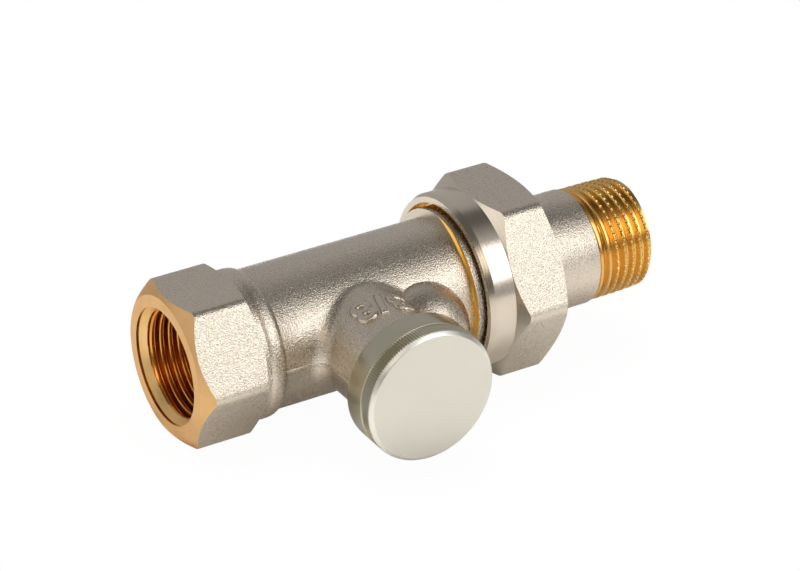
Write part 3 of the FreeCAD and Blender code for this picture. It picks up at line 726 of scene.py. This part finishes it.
def mixed_by_ray(tree, plain, shown, shares):
    """Shader seen as plain by the light and as shown, in part, by camera, glossy and transmitted rays."""
    path = add_node(tree, "ShaderNodeLightPath")
    total = 0.0
    for name, share in shares.items():
        scaled = add_node(tree, "ShaderNodeMath", {0: path.outputs[name], 1: share}, operation="MULTIPLY")
        most = add_node(tree, "ShaderNodeMath", {0: total, 1: scaled.outputs[0]}, operation="MAXIMUM")
        total = most.outputs[0]
    return add_node(tree, "ShaderNodeMixShader", {0: total, 1: plain, 2: shown}).outputs[0]


def make_floor():
    """White table top, tilted as it lies under the nut and the inlet hexagon."""
    material = bpy.data.materials.new("floor_white")
    material.use_nodes = True
    tree = material.node_tree
    tree.nodes.remove(tree.nodes["Principled BSDF"])
    diffuse = add_node(tree, "ShaderNodeBsdfDiffuse", {"Color": (0.86, 0.85, 0.83, 1)})
    glow = add_node(tree, "ShaderNodeEmission", {"Color": (*WHITE, 1)})
    shares = {"Is Camera Ray": 0.97, "Is Glossy Ray": 0.08, "Is Transmission Ray": 0.9}
    mixed = mixed_by_ray(tree, diffuse.outputs[0], glow.outputs[0], shares)
    tree.links.new(mixed, tree.nodes["Material Output"].inputs["Surface"])
    hex_rest, nut_rest = (0.3, -10.53), (47.7, -13.08)
    slope = (nut_rest[1] - hex_rest[1]) / (nut_rest[0] - hex_rest[0])
    reach, behind = 3000.0, 70.0
    corners = [(x, y, hex_rest[1] + slope * (x - hex_rest[0])) for x, y in
               ((-reach, -reach), (reach, -reach), (reach, behind), (-reach, behind))]
    mesh = bpy.data.meshes.new("floor")
    mesh.from_pydata((np.array(corners) * MM).tolist(), [], [(0, 1, 2, 3)])
    mesh.materials.append(material)
    new_object("floor", mesh)


def make_world():
    """Studio: grey wall behind, dark ceiling, soft glows in front and at the left, white to the camera."""
    world = bpy.data.worlds.new("studio")
    bpy.context.scene.world = world
    world.use_nodes = True
    tree = world.node_tree
    tree.nodes.clear()
    place = add_node(tree, "ShaderNodeTexCoord").outputs["Generated"]

    def zone(direction, start, end, strength):
        """Strength that rises from nothing as the view leans towards a direction."""
        lean = add_node(tree, "ShaderNodeVectorMath", {0: place, 1: direction}, operation="DOT_PRODUCT")
        return add_ramp(tree, lean.outputs["Value"], 0, strength, start, end, "SMOOTHSTEP")

    def background(colour, strength):
        inputs = {"Color": (*colour, 1), "Strength": strength}
        return add_node(tree, "ShaderNodeBackground", inputs).outputs[0]

    def together(first, second):
        return add_node(tree, "ShaderNodeAddShader", {0: first, 1: second}).outputs[0]

    ceiling = background((1.0, 0.9, 0.8), 0.03)
    wall = background((0.98, 0.96, 0.98), zone((0, 1, -0.55), -0.1, 0.1, strength=0.38))
    front = background((1.0, 0.99, 0.98), zone(FRONT_LIGHT, 0.6, 0.95, strength=0.4))
    left = background((1.0, 0.97, 0.92), zone(LEFT_LIGHT, 0.88, 0.97, strength=0.9))
    room = together(together(ceiling, wall), together(front, left))
    shares = {"Is Camera Ray": 1.0, "Is Glossy Ray": 0.1, "Is Transmission Ray": 0.9}
    mixed = mixed_by_ray(tree, room, background(WHITE, 1.0), shares)
    add_node(tree, "ShaderNodeOutputWorld", {"Surface": mixed})


def placed(axes, place):
    """World matrix from the columns of an item's axes and its place in millimetres."""
    return Matrix([[*row, at * MM] for row, at in zip(axes, place)] + [[0, 0, 0, 1]])


def make_lamp(name, direction, distance, size, radiance, colour=WHITE, in_reflections=True):
    """Soft box of the given size and brightness that looks at the middle of the valve."""
    lamp = bpy.data.lights.new(name, "AREA")
    lamp.shape = "RECTANGLE"
    lamp.size, lamp.size_y = size[0] * MM, size[1] * MM
    lamp.energy = radiance * math.pi * lamp.size * lamp.size_y
    lamp.color = colour
    back = np.array(direction) / np.linalg.norm(direction)
    overhead = abs(back[2]) > 0.95
    side = np.cross((0, 1, 0) if overhead else (0, 0, 1), back)
    side /= np.linalg.norm(side)
    axes = np.stack([side, np.cross(back, side), back], axis=1)
    item = new_object(name, lamp)
    item.matrix_world = placed(axes, VALVE_MIDDLE + distance * back)
    item.visible_glossy = in_reflections


def make_camera():
    """Camera fitted to the photograph's 800 by 571 frame."""
    focal_px, frame_width_px = 3466.9, 800
    tilt, heading, roll = (math.radians(angle) for angle in (29.434, 31.065, -0.023))
    place = (-178.82, -357.87, 237.5)

    def spin(angle):
        """Rotation about the third axis."""
        cosine, sine = math.cos(angle), math.sin(angle)
        return np.array([[cosine, -sine, 0], [sine, cosine, 0], [0, 0, 1]])

    nod = np.array([[1, 0, 0], [0, math.cos(tilt), -math.sin(tilt)], [0, math.sin(tilt), math.cos(tilt)]])
    upright = np.array([[1, 0, 0], [0, 0, -1], [0, 1, 0]])
    axes = (spin(roll) @ nod @ upright @ spin(heading)).T @ np.diag([1, -1, -1])
    data = bpy.data.cameras.new("camera")
    data.sensor_width = 36
    data.lens = focal_px / frame_width_px * data.sensor_width
    data.clip_start = 0.01
    camera = new_object("camera", data)
    camera.matrix_world = placed(axes, place)
    bpy.context.scene.camera = camera


make_floor()
make_world()
make_lamp("front_light", FRONT_LIGHT, 680, (460, 480), radiance=2.1, colour=(0.98, 0.99, 1.0))
make_lamp("side_light", (-0.52, -0.56, 0.64), 700, (380, 320), radiance=1.6, colour=(1.0, 0.9, 0.76))
make_lamp("table_light", (0, 0.25, 1), 800, (900, 700), radiance=3.6, in_reflections=False)
make_camera()
bpy.context.scene.view_settings.view_transform = "Standard"
